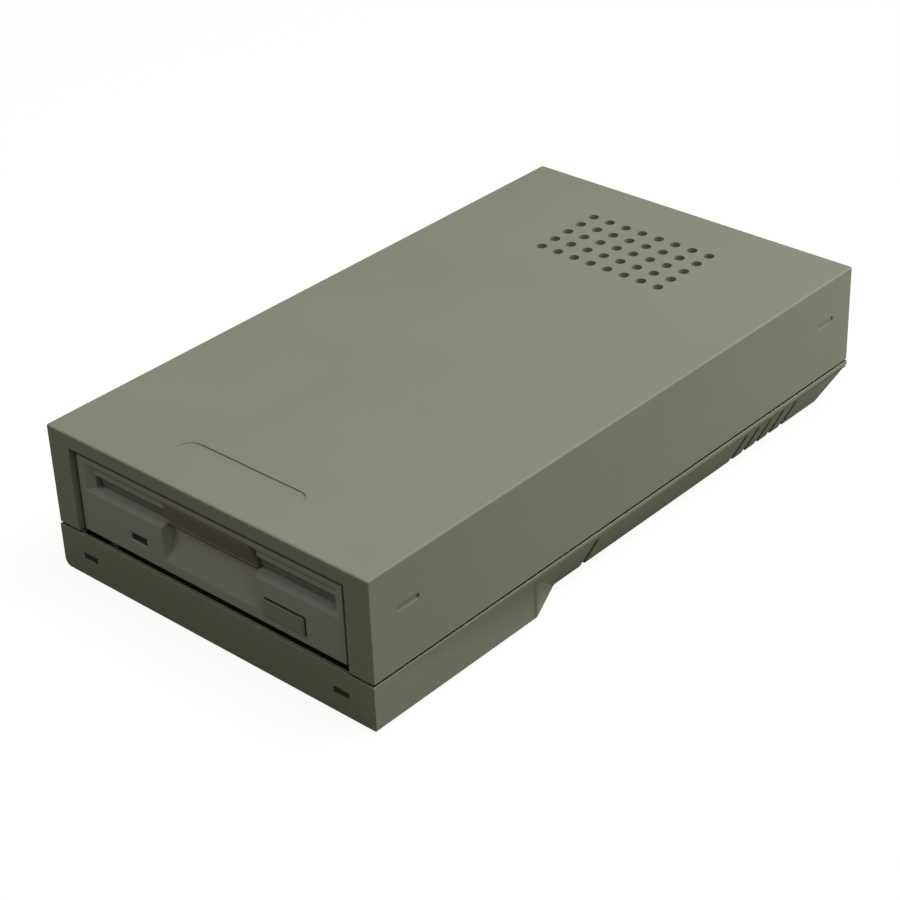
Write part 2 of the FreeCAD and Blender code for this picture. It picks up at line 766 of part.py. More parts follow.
def drive_chassis():
    inner = drive_half - frame_sheet
    sides = [block(s * drive_half - (frame_sheet if s > 0 else 0),
                   s * drive_half + (0 if s > 0 else frame_sheet),
                   bezel_back, chassis_back, drive_low, drive_top - top_plate_thick) for s in (-1, 1)]
    deck = block(-inner, inner, at(deck_front_at), chassis_back, deck_low, deck_top)
    deck = deck.cut(rod(hub_r + 3, (0, at(spindle_at), 0), (0, 0, 1), top_z))
    deck = deck.cut(block(-21, 21, at(70), at(stepper_at) - stepper_plate, 0, top_z))
    deck = deck.cut(block(-24, -4, at(stepper_at), at(stepper_at + stepper_length + 1), 0, top_z))
    solids = sides + [deck]
    for x, y in drive_posts():
        x0, x1 = sorted((x - math.copysign(post_r, x), math.copysign(drive_half, x)))
        solids.append(block(x0, x1, y - post_r, y + post_r, drive_low, drive_low + lug_height))
    for sign in (-1, 1):
        x0, x1 = sorted((sign * (slide_inner - 0.4), sign * inner))
        solids.append(block(x0, x1, at(32), at(100), deck_top, slide_foot - ledge_gap))
        x0, x1 = sorted((sign * (drive_half - 7), sign * inner))
        solids.append(block(x0, x1, at(lug_front_at), at(142), deck_top, drive_top - top_plate_thick))
    solids.append(block(-24, 22, at(stepper_at) - stepper_plate, at(stepper_at), line_z - 5.6, line_z + 8))
    solids.append(block(-21.5, screw_line_x + 3, at(82), at(84.5), line_z - 3, deck_top))
    solids.append(block(rod_line_x - 3, 21.5, at(80), at(83), line_z - 3, deck_top))
    solids.append(rod(3.0, (36, at(106), deck_low + 0.5), (0, 0, 1), slot_floor + 1 - deck_low - 0.5))
    solids.append(rod(1.5, (36, at(106), slot_floor), (0, 0, 1), 3.2))
    for x, y in motor_posts():
        solids.append(rod(2.5, (x, y, motor_board_low + board_thick), (0, 0, 1),
                          deck_low + 0.5 - motor_board_low - board_thick))
    frame = fuse(solids)
    cuts = [rod(screw_r, (x, y, 0), (0, 0, 1), deck_low) for x, y in drive_posts()]
    cuts += [rod(small_screw_r, (x, y, drive_top - 5), (0, 0, 1), 6) for x, y in top_screw_places()]
    reach = at(stepper_at) + 1 - at(78)
    cuts.append(rod(lead_screw_r + running_gap, (screw_line_x, at(78), line_z), (0, 1, 0), reach))
    cuts.append(rod(guide_rod_r, (rod_line_x, at(78), line_z), (0, 1, 0), reach))
    save("drive_chassis", frame.cut(cuts))


def motor_posts():
    return [(s * 31.0, at(d)) for d in (24.0, 80.0) for s in (-1, 1)]


def drive_top_plate():
    plate = block(-drive_half, drive_half, bezel_back, chassis_back, drive_top - top_plate_thick, drive_top)
    cuts = [rod(small_screw_r, (x, y, 0), (0, 0, 1), top_z) for x, y in top_screw_places()]
    cuts.append(block(-12, 12, at(84), at(120), 0, top_z))
    save("drive_top_plate", plate.cut(cuts))


def drive_bezel():
    body = block(-drive_half, drive_half, bezel_front, bezel_back, drive_low, drive_top)
    body = rounded(body, 0.5, lambda e: along(e, 2) and e.CenterOfMass.y < bezel_front + 0.1)
    y1 = bezel_front + funnel_depth
    z = [seam_z + h for h in (funnel_low, slot_low, funnel_mid, funnel_high)]
    outer = Part.makePolygon([V(-funnel_half, bezel_front, z[0]), V(funnel_half, bezel_front, z[0]),
                              V(funnel_half, bezel_front, z[3]), V(-funnel_half, bezel_front, z[3]),
                              V(-funnel_half, bezel_front, z[0])])
    w = slot_width_half
    inner = Part.makePolygon([V(-w, y1, z[1]), V(w, y1, z[1]), V(w, y1, z[2]), V(-w, y1, z[2]),
                              V(-w, y1, z[1])])
    funnel = Part.makeLoft([outer, inner], True, True)
    way = block(-w, w, bezel_front, bezel_back, slot_floor, slot_roof)
    pocket = block(-w, w, y1 + lip_thick, bezel_back, slot_floor, flap_axis.z + 1.6)
    b = brow_half + brow_gap
    notch = block(-b, b, bezel_front, bezel_back, seam_z + brow_low - 2 * brow_gap,
                  seam_z + funnel_high + 0.1)
    scoop = thumb_scoop()
    hole_w = button_width / 2 + button_gap
    hole_h = button_height / 2 + button_gap
    bz = seam_z + button_up
    button_hole = block(button_x - hole_w, button_x + hole_w, bezel_front, bezel_back, bz - hole_h, bz + hole_h)
    wz = seam_z + window_up
    window = block(window_x - window_width / 2, window_x + window_width / 2, bezel_front, bezel_back,
                   wz - window_height / 2, wz + window_height / 2)
    rim = block(window_x - window_width / 2 - 0.7, window_x + window_width / 2 + 0.5, bezel_front,
                bezel_front + 0.35, wz - window_height / 2 - 0.5, wz + window_height / 2 + 0.4)
    body = body.cut([funnel, way, pocket, notch, scoop, button_hole, window, rim])
    ears = []
    for sign in (-1, 1):
        x0, x1 = sorted((sign * (w - 1.6), sign * (w + 0.5)))
        ear = block(x0, x1, flap_axis.y - 1.3, bezel_back, flap_axis.z - 1.4, flap_axis.z + 1.8)
        ears.append(ear.cut(rod(flap_pin_r + running_gap, (-w - 1, flap_axis.y, flap_axis.z), (1, 0, 0), 2 * w + 2)))
    save("drive_bezel", fuse([body] + ears))


def thumb_scoop():
    """Return the hollow under the slot: a soft curve that starts low on the face and deepens upwards."""
    y0 = bezel_front
    z0 = seam_z + scoop_low
    z1 = seam_z + slot_low
    deep = y0 + scoop_depth
    edges = [
        Part.Arc(V(-scoop_half, y0, z0), V(-scoop_half, y0 + 0.72 * scoop_depth, z0 + 0.55 * (z1 - z0)),
                 V(-scoop_half, deep, z1)).toShape(),
        Part.LineSegment(V(-scoop_half, deep, z1), V(-scoop_half, deep, z1 + 1)).toShape(),
        Part.LineSegment(V(-scoop_half, deep, z1 + 1), V(-scoop_half, y0 - 1, z1 + 1)).toShape(),
        Part.LineSegment(V(-scoop_half, y0 - 1, z1 + 1), V(-scoop_half, y0 - 1, z0)).toShape(),
        Part.LineSegment(V(-scoop_half, y0 - 1, z0), V(-scoop_half, y0, z0)).toShape(),
    ]
    return Part.Face(Part.Wire(edges)).extrude(V(2 * scoop_half, 0, 0))


def dust_flap():
    y = flap_axis.y
    w = slot_width_half - 3.4
    face = bezel_front + flap_face_in
    end = slot_width_half - flap_end_gap
    wing = block(-end, end, face, face + flap_thick, seam_z + flap_low, seam_z + flap_shoulder)
    stem = block(-w, w, face, face + flap_thick, seam_z + flap_low, flap_axis.z)
    brow = prism_x([(bezel_front + 0.1, seam_z + flap_top), (bezel_front + brow_depth, seam_z + brow_low),
                    (y + flap_thick / 2, seam_z + brow_low), (y + flap_thick / 2, seam_z + flap_top)],
                   -brow_half, brow_half)
    barrel = rod(flap_thick / 2 + 0.3, (-w, y, flap_axis.z), (1, 0, 0), 2 * w)
    pin_half = slot_width_half - 0.1
    pin = rod(flap_pin_r, (-pin_half, y, flap_axis.z), (1, 0, 0), 2 * pin_half)
    save("dust_flap", fuse([wing, stem, brow, barrel, pin]))
    save("flap_spring", coil_spring(flap_pin_r + 0.25, 0.15, 0.42, 3, V(0, 0, 1), V(1, 0, 0),
                                    V(w + 0.15, y, flap_axis.z)))


def coil_spring(radius, wire_r, pitch, turns, from_axis, to_axis, place):
    """Return a wound spring that starts at place and runs along to_axis."""
    helix = Part.makeHelix(pitch, pitch * turns, radius)
    start = helix.Edges[0].valueAt(helix.Edges[0].FirstParameter)
    tangent = helix.Edges[0].tangentAt(helix.Edges[0].FirstParameter)
    circle = Part.Wire(Part.makeCircle(wire_r, start, tangent))
    coil = Part.Wire(helix.Edges).makePipeShell([circle], True, False)
    coil.Placement = FreeCAD.Placement(place, FreeCAD.Rotation(from_axis, to_axis))
    return coil


def activity_light():
    z = seam_z + window_up
    w = window_width / 2 - 0.1
    h = window_height / 2 - 0.1
    lens = block(window_x - w, window_x + w, bezel_front + 0.9, bezel_back + 1, z - h, z + h)
    save("activity_led", fuse([lens, block(window_x - w - 0.6, window_x + w + 0.6, bezel_back,
                                           bezel_back + 3, z - h - 0.6, z + h + 0.6)]))


def eject_button():
    z = seam_z + button_up
    w = button_width / 2
    h = button_height / 2
    cap = block(button_x - w, button_x + w, bezel_front - button_proud, at(bracket_at), z - h, z + h)
    cap = rounded(cap, 0.7, lambda e: e.CenterOfMass.y < bezel_front - button_proud + 0.01)
    waist = block(button_x - w, button_x + w, bezel_back - 1.5, at(bracket_at) - 1.2, z + h - 1.6, z + h)
    save("eject_button", cap.cut(waist))


def slide_plate():
    y0 = at(slide_front_at)
    y1 = at(slide_rear_at)
    outer = slide_inner + slide_sheet
    roof = block(-outer, outer, y0, y1, slide_roof, slide_roof + slide_sheet)
    roof = roof.cut(block(-slide_window_half, slide_window_half, at(slide_window_at), y1, 0, top_z))
    solids = [roof]
    for sign in (-1, 1):
        x0, x1 = sorted((sign * slide_inner, sign * outer))
        flange = block(x0, x1, at(bracket_at), y1, slide_foot, slide_roof + slide_sheet)
        for depth in (cam_front_at, cam_rear_at):
            flange = flange.cut(cam_slot(x0, x1, at(depth)))
        solids.append(flange)
    z0 = seam_z + button_up - button_height / 2
    solids.append(block(slide_inner, outer, at(bracket_at), at(bracket_at) + 6, z0, slide_foot + 1))
    solids.append(block(button_x - button_width / 2, outer, at(bracket_at), at(bracket_at) + 1.2, z0,
                        z0 + button_height + 1.2))
    solids.append(block(-outer, -slide_inner + 2.4, y1 - slide_sheet, y1, slide_foot + 2, slide_foot + 5))
    save("slide_plate", fuse(solids))


def cam_slot(x0, x1, y):
    """Return the slanted slot that lowers the carrier's pin as the plate comes forward."""
    r = cam_pin_r + cam_gap
    z = pin_z()
    ratio = carrier_drop / slide_travel
    ends = [(y - slide_overtravel, z + slide_overtravel * ratio), (y + slide_travel, z - carrier_drop)]
    run = V(0, ends[1][0] - ends[0][0], ends[1][1] - ends[0][1])
    side = V(0, -run.z, run.y).normalize() * r
    points = [(ends[0][0] + side.y, ends[0][1] + side.z), (ends[1][0] + side.y, ends[1][1] + side.z),
              (ends[1][0] - side.y, ends[1][1] - side.z), (ends[0][0] - side.y, ends[0][1] - side.z)]
    bar = prism_x(points, x0, x1)
    return bar.fuse([rod(r, (x0, a, b), (1, 0, 0), x1 - x0) for a, b in ends])


def pin_z():
    return carrier_floor + carrier_room / 2


def slide_spring():
    """Write the coiled spring that pushes the slide plate forward from the frame's left lug."""
    wire_r = 0.25
    y0 = at(slide_rear_at) + wire_r + 0.15
    y1 = at(lug_front_at) - wire_r - 0.15
    place = V(-(slide_inner - 0.6), y0, slide_foot + 3.5)
    coil = coil_spring(1.1, wire_r, (y1 - y0) / spring_turns, spring_turns, V(0, 0, 1), V(0, 1, 0), place)
    save("slide_spring", coil)


def disk_carrier():
    w = carrier_half
    t = carrier_sheet
    y0 = at(carrier_front_at)
    y1 = at(carrier_rear_at)
    roof = block(-w - t, w + t, y0, y1, carrier_roof, carrier_roof + t)
    roof = roof.cut(block(-9, 9, at(68), y1, 0, top_z))
    solids = [roof]
    for sign in (-1, 1):
        x0, x1 = sorted((sign * w, sign * (w + t)))
        solids.append(block(x0, x1, y0, y1, carrier_floor - t, carrier_roof + t))
        x0, x1 = sorted((sign * (w - carrier_lip), sign * (w + t)))
        solids.append(block(x0, x1, y0, y1, carrier_floor - t, carrier_floor))
        for depth in (cam_front_at, cam_rear_at):
            x0 = sign * w if sign > 0 else sign * w - slide_side_gap - slide_sheet - t - 0.6
            solids.append(rod(cam_pin_r, (x0 + 0.1 * sign, at(depth), pin_z()), (1, 0, 0),
                              slide_side_gap + slide_sheet + t + 0.5))
    save("disk_carrier", fuse(solids))


def shutter_lever():
    z0 = slot_floor + 1
    y = at(106)
    arm = prism_z([(36 + 3, y), (36, y - 3), (15, y - 4.5), (15, y - 2), (33, y + 2)], z0, z0 + 1.2)
    boss = rod(3.4, (36, y, z0), (0, 0, 1), 1.2)
    bore = rod(1.5 + running_gap, (36, y, z0 - 1), (0, 0, 1), 5)
    tip = rod(1.2, (16.2, y - 3.3, z0 - 1.6), (0, 0, 1), 2.8)
    save("shutter_lever", fuse([arm, boss, tip]).cut(bore))


def spindle():
    x, y = 0, at(spindle_at)
    disc = rod(rotor_r, (x, y, rotor_top - rotor_thick), (0, 0, 1), rotor_thick)
    rim = rod(rotor_r, (x, y, rotor_top - rotor_rim), (0, 0, 1), rotor_rim)
    rim = rim.cut(rod(rotor_r - 1.6, (x, y, 0), (0, 0, 1), top_z))
    collar = rod(6.0, (x, y, rotor_top - 0.5), (0, 0, 1), hub_top - hub_thick - rotor_top + 0.5)
    shaft = rod(shaft_r, (x, y, motor_board_low + 0.4), (0, 0, 1), hub_top + 1.6 - motor_board_low - 0.4)
    save("spindle_rotor", fuse([disc, rim, collar, shaft]))
    hub = rod(hub_r, (x, y, hub_top - hub_thick), (0, 0, 1), hub_thick)
    hub = hub.cut(rod(shaft_r, (x, y, 0), (0, 0, 1), top_z))
    save("spindle_hub", fuse([hub, rod(1.1, (x + 8, y, hub_top - 1), (0, 0, 1), 2.2)]))
    low = motor_board_low + board_thick
    sleeve = rod(bearing_r, (x, y, low), (0, 0, 1), rotor_top - rotor_thick - 0.3 - low)
    sleeve = sleeve.fuse(rod(7.0, (x, y, low), (0, 0, 1), 0.8))
    save("spindle_bearing", sleeve.cut(rod(shaft_r + running_gap, (x, y, 0), (0, 0, 1), top_z)))
    plate = block(-motor_board_half, motor_board_half, at(20), at(85), motor_board_low, low)
    save("motor_board", plate.cut(rod(shaft_r + 0.6, (x, y, 0), (0, 0, 1), top_z)))
    coils = []
    for i in range(coil_count):
        coil = rod(3.4, (x + 16.0, y, low), (0, 0, 1), rotor_top - rotor_thick - 0.4 - low)
        coil = coil.cut(rod(1.4, (x + 16.0, y, low + 0.8), (0, 0, 1), 9))
        coil.rotate(V(x, y, 0), V(0, 0, 1), 360 / coil_count * i)
        coils.append(coil)
    save_group("stator_coils", coils)


def head_transport():
    y0 = at(stepper_at)
    motor = rod(stepper_r, (screw_line_x, y0, line_z), (0, 1, 0), stepper_length)
    motor = rounded(motor, 0.6, lambda e: e.Closed and e.CenterOfMass.y > y0 + 1)
    motor = motor.cut(rod(lead_screw_r + running_gap, (screw_line_x, y0, line_z), (0, 1, 0), 10))
    save("stepper_motor", motor)
    screw_length = at(stepper_at) + 9 - at(82)
    spiral = rod(lead_screw_r, (screw_line_x, at(82), line_z), (0, 1, 0), screw_length)
    groove = block(screw_line_x - 0.3, screw_line_x + 0.3, at(86), at(118), line_z + lead_screw_r - 0.35,
                   line_z + lead_screw_r)
    save("lead_screw", spiral.cut(groove))
    save("guide_rod", rod(guide_rod_r, (rod_line_x, at(80), line_z), (0, 1, 0), at(stepper_at) - at(80)))
    body_low = line_z - 1.1
    body_high = slot_floor - disk_seat_drop - carrier_drop - 0.4
    body = block(-carriage_half, carriage_half, at(carriage_front_at), at(carriage_rear_at), body_low, body_high)
    right = block(carriage_half - 0.5, rod_line_x + 3.3, at(100), at(112), line_z - 2.8, line_z + 2.8)
    left = block(screw_line_x - 3.4, -carriage_half + 0.5, at(100), at(110), line_z - 2.8, line_z + 2.8)
    solids = [body, right, left]
    for sign in (-1, 1):
        x0, x1 = sorted((sign * (arm_half + 0.5), sign * carriage_half))
        solids.append(block(x0, x1, at(arm_axis_at) - 2.3, at(arm_axis_at) + 2.3, body_high, arm_z + 2.4))
    carriage = fuse(solids)
    cuts = [rod(guide_rod_r + running_gap, (rod_line_x, at(90), line_z), (0, 1, 0), 30),
            rod(lead_screw_r + 0.3, (screw_line_x, at(90), line_z), (0, 1, 0), 30),
            rod(arm_pin_r + running_gap, (-20, at(arm_axis_at), arm_z + arm_thick / 2), (1, 0, 0), 40)]
    save("head_carriage", carriage.cut(cuts))
    save("lower_head", rod(head_r, (0, at(head_at), body_high), (0, 0, 1), 1.6))
    arm = block(-arm_half, arm_half, at(head_at) - 4.5, at(arm_axis_at) + 1.6, arm_z, arm_z + arm_thick)
    pin = rod(arm_pin_r, (-carriage_half, at(arm_axis_at), arm_z + arm_thick / 2), (1, 0, 0), 2 * carriage_half)
    save("upper_arm", fuse([arm, pin]))
    save("upper_head", rod(head_r, (0, at(head_at), arm_z - 1.5), (0, 0, 1), 1.5))
    save("arm_spring", block(-1.5, 1.5, at(arm_axis_at) - 14, at(arm_axis_at) - 1.2, arm_z + arm_thick,
                             arm_z + arm_thick + 0.3))


def drive_electronics():
    z0 = motor_board_low
    z1 = z0 + board_thick
    w = drive_half - frame_sheet
    board = block(-w, w, at(90), chassis_back, z0, z1)
    notch = block(screw_line_x - stepper_r - 1, screw_line_x + stepper_r + 1,
                  at(stepper_at) - stepper_plate - 1, chassis_back, 0, top_z)
    save("drive_board", board.cut(notch))
    x = ribbon_x
    header = block(x - 23, x + 23, chassis_back - 9, chassis_back, z1, z1 + 5.4)
    header = header.cut(block(x - 21.8, x + 21.8, chassis_back - 6, chassis_back, z1 + 1, z1 + 4.4))
    save_group("drive_connectors", [header, block(-31, -25, chassis_back - 8, chassis_back, z1, z1 + 5.2)])


def main():
    os.makedirs("parts", exist_ok=True)
    top_cover()
    bottom_case()
    light_windows()
    rubber_feet()
    screws()
    rear_panel()
    ports()
    power_inlet()
    main_electronics()
    drive_cables()
    drive_chassis()
    drive_top_plate()
    drive_bezel()
    dust_flap()
    activity_light()
    eject_button()
    slide_plate()
    slide_spring()
    disk_carrier()
    shutter_lever()
    spindle()
    head_transport()
    drive_electronics()


main()
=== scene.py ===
import math

import bmesh
import bpy
from mathutils import Matrix, Vector


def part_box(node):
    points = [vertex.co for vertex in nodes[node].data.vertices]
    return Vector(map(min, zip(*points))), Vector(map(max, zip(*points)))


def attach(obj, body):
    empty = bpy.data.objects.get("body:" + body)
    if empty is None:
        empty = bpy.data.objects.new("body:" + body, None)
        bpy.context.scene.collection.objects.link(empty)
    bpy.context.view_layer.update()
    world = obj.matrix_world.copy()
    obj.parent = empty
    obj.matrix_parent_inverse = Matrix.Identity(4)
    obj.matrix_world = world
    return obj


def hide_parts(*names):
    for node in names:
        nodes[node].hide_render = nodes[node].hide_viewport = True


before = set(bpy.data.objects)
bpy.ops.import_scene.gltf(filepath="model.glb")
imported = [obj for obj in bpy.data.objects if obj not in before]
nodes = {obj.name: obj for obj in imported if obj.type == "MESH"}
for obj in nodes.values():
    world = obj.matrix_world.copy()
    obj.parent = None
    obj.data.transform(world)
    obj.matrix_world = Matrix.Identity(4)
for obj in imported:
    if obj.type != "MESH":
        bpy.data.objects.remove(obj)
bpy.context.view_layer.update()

# Viewpoint
# The camera stands in front of the right front corner and looks down on the drive.
# Its place, its turn and its lens were solved from the straight edges of the case.
camera_place = Vector((0.38376, -0.42180, 0.35984))
camera_azimuth = math.radians(42.95)
camera_height = math.radians(31.46)
camera_roll = math.radians(-2.44)
focal_pixels = 2285.3
image_pixels = 900
film_width = 36
back = Vector((math.sin(camera_azimuth) * math.cos(camera_height),
               -math.cos(camera_azimuth) * math.cos(camera_height), math.sin(camera_height)))
level = Vector((0, 0, 1)).cross(back).normalized()
upright = back.cross(level)
right = math.cos(camera_roll) * level + math.sin(camera_roll) * upright
top = -math.sin(camera_roll) * level + math.cos(camera_roll) * upright
camera_data = bpy.data.cameras.new("camera")
camera_data.sensor_width = film_width
camera_data.lens = film_width * focal_pixels / image_pixels
camera = bpy.data.objects.new("camera", camera_data)
camera_turn = Matrix((right, top, back)).transposed().to_4x4()
camera.matrix_world = Matrix.Translation(camera_place) @ camera_turn
bpy.context.collection.objects.link(camera)
bpy.context.scene.camera = camera
bpy.context.scene.view_settings.view_transform = "Standard"

# Light and floor
# A large soft lamp high on the right lights the top, a second one the side and every edge that turns
# right, and a small one behind lifts the side's rear end. The front is left dim, with a weak lamp on
# its left. The floor is pale paper, white to the camera.


def soft_lamp(name, place, aim, side, power):
    """Hang a square diffusing panel at place and turn it towards aim."""
    lamp_data = bpy.data.lights.new(name, "AREA")
    lamp_data.shape = "SQUARE"
    lamp_data.size = side
    lamp_data.energy = power
    lamp = bpy.data.objects.new(name, lamp_data)
    lamp.location = place
    lamp.rotation_euler = (Vector(place) - Vector(aim)).to_track_quat("Z", "Y").to_euler()
    lamp.visible_camera = False
    bpy.context.collection.objects.link(lamp)


soft_lamp("key_panel", (0.34, 0.24, 1.02), (0, 0, 0.03), side=0.55, power=9.1)
soft_lamp("right_panel", (0.75, -0.30, 0.65), (0, 0, 0.03), side=0.45, power=1.1)
soft_lamp("left_panel", (-0.35, -0.45, 0.40), (0, -0.1, 0.02), side=0.3, power=0.64)
soft_lamp("rear_panel_lamp", (0.34, 0.36, 0.14), (0.04, 0.03, 0.02), side=0.16, power=0.74)
fill_strength = 0.09
fill_colour = (1, 0.98, 0.86, 1)
paper_glow = 1.87
glow_share = 0.5


def link(tree, *pairs):
    """Join sockets, each pair given as (output, input)."""
    for source, target in pairs:
        tree.links.new(source, target)


def set_inputs(node, **values):
    """Set a shading node's inputs by name, with _ for a blank."""
    for name, value in values.items():
        node.inputs[name.replace("_", " ")].default_value = value


def add_node(tree, kind, operation=None, **values):
    """Add a shading node, with its inputs set by name."""
    node = tree.nodes.new("ShaderNode" + kind)
    if operation:
        node.operation = operation
    set_inputs(node, **values)
    return node


def new_material(name, **values):
    """Start a material; return it, its nodes and its main shader, whose inputs are set by name."""
    material = bpy.data.materials.new(name)
    material.use_nodes = True
    tree = material.node_tree
    shader = tree.nodes["Principled BSDF"]
    set_inputs(shader, **values)
    return material, tree, shader


world = bpy.data.worlds.new("surroundings")
world.use_nodes = True
bpy.context.scene.world = world
tree = world.node_tree
tree.nodes.clear()
seen = add_node(tree, "Background", Strength=1.0)
fill = add_node(tree, "Background", Strength=fill_strength, Color=fill_colour)
path = add_node(tree, "LightPath")
choose = add_node(tree, "MixShader")
world_out = add_node(tree, "OutputWorld")
link(tree, (path.outputs["Is Camera Ray"], choose.inputs["Fac"]),
     (fill.outputs[0], choose.inputs[1]), (seen.outputs[0], choose.inputs[2]),
     (choose.outputs[0], world_out.inputs["Surface"]))

paper, tree, diffuse = new_material("white_paper", Base_Color=(0.20, 0.196, 0.166, 1), Roughness=0.9,
                                    Specular_IOR_Level=0.1)
glow = add_node(tree, "Emission", Strength=paper_glow)
path = add_node(tree, "LightPath")
share = add_node(tree, "Math", "MULTIPLY")
share.inputs[1].default_value = glow_share
choose = add_node(tree, "MixShader")
link(tree, (path.outputs["Is Camera Ray"], share.inputs[0]),
     (share.outputs[0], choose.inputs["Fac"]),
     (diffuse.outputs[0], choose.inputs[1]), (glow.outputs[0], choose.inputs[2]),
     (choose.outputs[0], tree.nodes["Material Output"].inputs["Surface"]))
floor_half = 6.0
floor_mesh = bpy.data.meshes.new("floor")
floor_corners = [(x * floor_half, y * floor_half, 0) for x, y in ((-1, -1), (1, -1), (1, 1), (-1, 1))]
floor_mesh.from_pydata(floor_corners, [], [(0, 1, 2, 3)])
floor_mesh.materials.append(paper)
floor = bpy.data.objects.new("floor", floor_mesh)
bpy.context.collection.objects.link(floor)

# Top cover
# The upper half of the case, one injection-moulded shell with a fine spark-eroded texture.
# Its edges carry a small round, and its place over the opening is a bare shallow recess.
MM = 0.001


def texture_place(tree, scale):
    """Return the output that gives object coordinates times scale."""
    where = add_node(tree, "TexCoord")
    size = add_node(tree, "Mapping", Scale=(scale, scale, scale))
    link(tree, (where.outputs["Object"], size.inputs["Vector"]))
    return size.outputs["Vector"]


def group_socket(group, name, kind, way, value=None):
    """Add an input or output to a node group."""
    socket = group.interface.new_socket(name=name, in_out=way, socket_type=kind)
    if value is not None:
        socket.default_value = value
    return socket


def moulded_group():
    """Build the surface of moulded plastic: mottled colour, fine grain, handling marks and specks."""
    group = bpy.data.node_groups.new("moulded_surface", "ShaderNodeTree")
    group_socket(group, "Colour", "NodeSocketColor", "INPUT", (0.5, 0.5, 0.5, 1))
    group_socket(group, "Mottle", "NodeSocketFloat", "INPUT", 0.05)
    group_socket(group, "Roughness", "NodeSocketFloat", "INPUT", 0.6)
    group_socket(group, "Speck", "NodeSocketFloat", "INPUT", 0.0)
    group_socket(group, "Colour", "NodeSocketColor", "OUTPUT")
    group_socket(group, "Roughness", "NodeSocketFloat", "OUTPUT")
    group_socket(group, "Height", "NodeSocketFloat", "OUTPUT")
    given = group.nodes.new("NodeGroupInput")
    out = group.nodes.new("NodeGroupOutput")
    place = texture_place(group, 1.0)

    cloud = add_node(group, "TexNoise", Scale=22, Detail=3)
    shade = add_node(group, "MapRange", From_Min=0.3, From_Max=0.7, To_Min=-0.5, To_Max=0.5)
    amount = add_node(group, "Math", "MULTIPLY_ADD")
    amount.inputs[2].default_value = 1.0
    tint = add_node(group, "HueSaturation")
    link(group, (place, cloud.inputs["Vector"]), (cloud.outputs["Fac"], shade.inputs["Value"]),
         (shade.outputs["Result"], amount.inputs[0]), (given.outputs["Mottle"], amount.inputs[1]),
         (amount.outputs[0], tint.inputs["Value"]), (given.outputs["Colour"], tint.inputs["Color"]))

    dots = add_node(group, "TexVoronoi", Scale=62)
    near = add_node(group, "MapRange", From_Min=0.012, From_Max=0.028, To_Min=1, To_Max=0)
    few = add_node(group, "TexNoise", Scale=31)
    rare = add_node(group, "MapRange", From_Min=0.58, From_Max=0.62)
    both = add_node(group, "Math", "MULTIPLY")
    weight = add_node(group, "Math", "MULTIPLY")
    dirty = add_node(group, "Mix")
    dirty.data_type = "RGBA"
    dirty.inputs["B"].default_value = (0.05, 0.048, 0.04, 1)
    link(group, (place, dots.inputs["Vector"]), (dots.outputs["Distance"], near.inputs["Value"]),
         (place, few.inputs["Vector"]), (few.outputs["Fac"], rare.inputs["Value"]),
         (near.outputs["Result"], both.inputs[0]), (rare.outputs["Result"], both.inputs[1]),
         (both.outputs[0], weight.inputs[0]), (given.outputs["Speck"], weight.inputs[1]),
         (weight.outputs[0], dirty.inputs["Factor"]), (tint.outputs["Color"], dirty.inputs["A"]),
         (dirty.outputs["Result"], out.inputs["Colour"]))

    grain = add_node(group, "TexNoise", Scale=3200, Detail=2)
    link(group, (place, grain.inputs["Vector"]), (grain.outputs["Fac"], out.inputs["Height"]))

    rub = add_node(group, "TexNoise", Scale=90, Detail=4)
    spread = add_node(group, "MapRange", To_Min=-0.09, To_Max=0.09)
    total = add_node(group, "Math", "ADD")
    link(group, (place, rub.inputs["Vector"]), (rub.outputs["Fac"], spread.inputs["Value"]),
         (spread.outputs["Result"], total.inputs[0]), (given.outputs["Roughness"], total.inputs[1]),
         (total.outputs[0], out.inputs["Roughness"]))
    return group


moulded_surface = moulded_group()


def moulded_plastic(name, colour, roughness=0.6, mottle=0.05, grain=0.02, speck=0.0):
    """Make a moulded plastic; grain is its texture's height in millimetres."""
    material, tree, shader = new_material(name, Specular_IOR_Level=0.35)
    surface = tree.nodes.new("ShaderNodeGroup")
    surface.node_tree = moulded_surface
    set_inputs(surface, Colour=(*colour, 1), Roughness=roughness, Mottle=mottle, Speck=speck)
    bump = add_node(tree, "Bump", Distance=grain * MM, Strength=0.6)
    link(tree, (surface.outputs["Colour"], shader.inputs["Base Color"]),
         (surface.outputs["Roughness"], shader.inputs["Roughness"]),
         (surface.outputs["Height"], bump.inputs["Height"]),
         (bump.outputs[0], shader.inputs["Normal"]))
    return material


def add_piece(name, mesh, material, smooth_angle=35):
    """Add a mesh as a piece, with its material, smooth but for edges sharper than smooth_angle."""
    mesh.materials.clear()
    mesh.materials.append(material)
    for face in mesh.polygons:
        face.use_smooth = True
        face.material_index = 0
    mesh.set_sharp_from_angle(angle=math.radians(smooth_angle))
    piece = bpy.data.objects.new(name, mesh)
    bpy.context.collection.objects.link(piece)
    return piece


weld_gap = 0.002
flat_angle = math.radians(0.3)
sharp_angle = math.radians(35)
shortest_edge = 1.2


def welded(node):
    """Return a node's mesh in bmesh form, with its flat faces whole again."""
    form = bmesh.new()
    form.from_mesh(nodes[node].data)
    bmesh.ops.remove_doubles(form, verts=form.verts, dist=weld_gap * MM)
    bmesh.ops.dissolve_limit(form, angle_limit=flat_angle, verts=form.verts, edges=form.edges)
    return form


